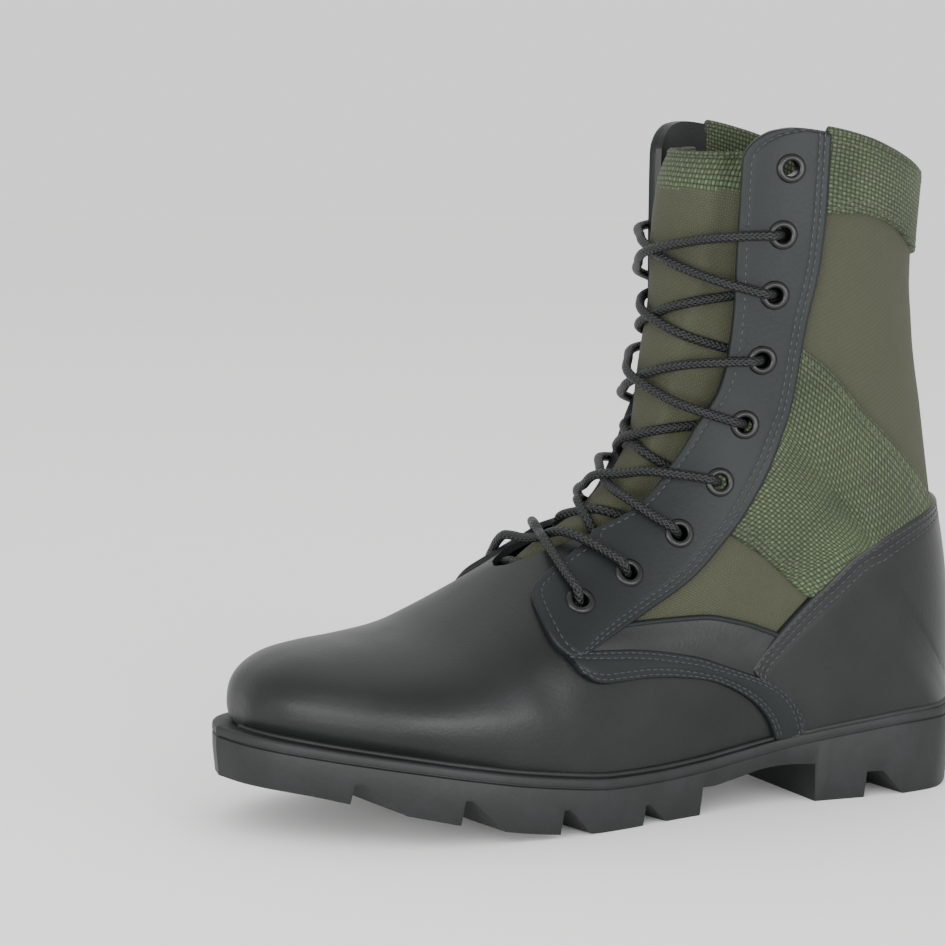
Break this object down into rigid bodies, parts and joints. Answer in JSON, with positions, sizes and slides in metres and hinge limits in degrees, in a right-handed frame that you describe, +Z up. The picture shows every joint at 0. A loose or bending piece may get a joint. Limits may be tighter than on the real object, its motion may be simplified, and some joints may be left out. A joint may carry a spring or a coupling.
{
  "type": "jungle boot",
  "caption": "Left lace-up jungle boot with a smooth leather vamp and heel counter, olive canvas shaft with webbing bands, black eyelets and a thick lugged rubber sole.",
  "frame": {"origin": "centre of the bounding box on the floor the boot stands on", "axes": "-Y towards the toe, +Y towards the heel, +X towards the outer (lateral) side of the foot, +Z up through the collar"},
  "size_m": [0.1105, 0.308, 0.255],
  "materials": {
    "black_sole_rubber": "matt black moulded rubber",
    "black_waxed_leather": "smooth black leather with a waxed sheen",
    "olive_canvas": "olive drab cotton and nylon canvas",
    "green_nylon_webbing": "coarse green nylon webbing",
    "dark_insole_cloth": "dark cloth over foam",
    "black_eyelet_enamel": "black enamelled metal",
    "black_lace": "round waxed black cord"
  },
  "bodies": {
    "root": {"ankle_strap_lateral": "green_nylon_webbing", "ankle_strap_medial": "green_nylon_webbing", "collar_band": "green_nylon_webbing", "eyelet_lateral_1": "black_eyelet_enamel", "eyelet_lateral_2": "black_eyelet_enamel", "eyelet_lateral_3": "black_eyelet_enamel", "eyelet_lateral_4": "black_eyelet_enamel", "eyelet_lateral_5": "black_eyelet_enamel", "eyelet_lateral_6": "black_eyelet_enamel", "eyelet_lateral_7": "black_eyelet_enamel", "eyelet_lateral_8": "black_eyelet_enamel", "eyelet_lateral_9": "black_eyelet_enamel", "eyelet_medial_1": "black_eyelet_enamel", "eyelet_medial_2": "black_eyelet_enamel", "eyelet_medial_3": "black_eyelet_enamel", "eyelet_medial_4": "black_eyelet_enamel", "eyelet_medial_5": "black_eyelet_enamel", "eyelet_medial_6": "black_eyelet_enamel", "eyelet_medial_7": "black_eyelet_enamel", "eyelet_medial_8": "black_eyelet_enamel", "eyelet_medial_9": "black_eyelet_enamel", "eyestay_lateral": "black_waxed_leather", "eyestay_medial": "black_waxed_leather", "heel_counter": "black_waxed_leather", "insole": "dark_insole_cloth", "lace_bar": "black_lace", "lace_cross_1": "black_lace", "lace_cross_2": "black_lace", "lace_cross_3": "black_lace", "lace_cross_4": "black_lace", "lace_cross_5": "black_lace", "lace_cross_6": "black_lace", "lace_cross_7": "black_lace", "outsole": "black_sole_rubber", "seam_band_lateral": "black_waxed_leather", "seam_band_medial": "black_waxed_leather", "side_panel_lateral": "black_waxed_leather", "side_panel_medial": "black_waxed_leather", "tongue": "olive_canvas", "upper": "black_waxed_leather"}
  },
  "joints": []
}
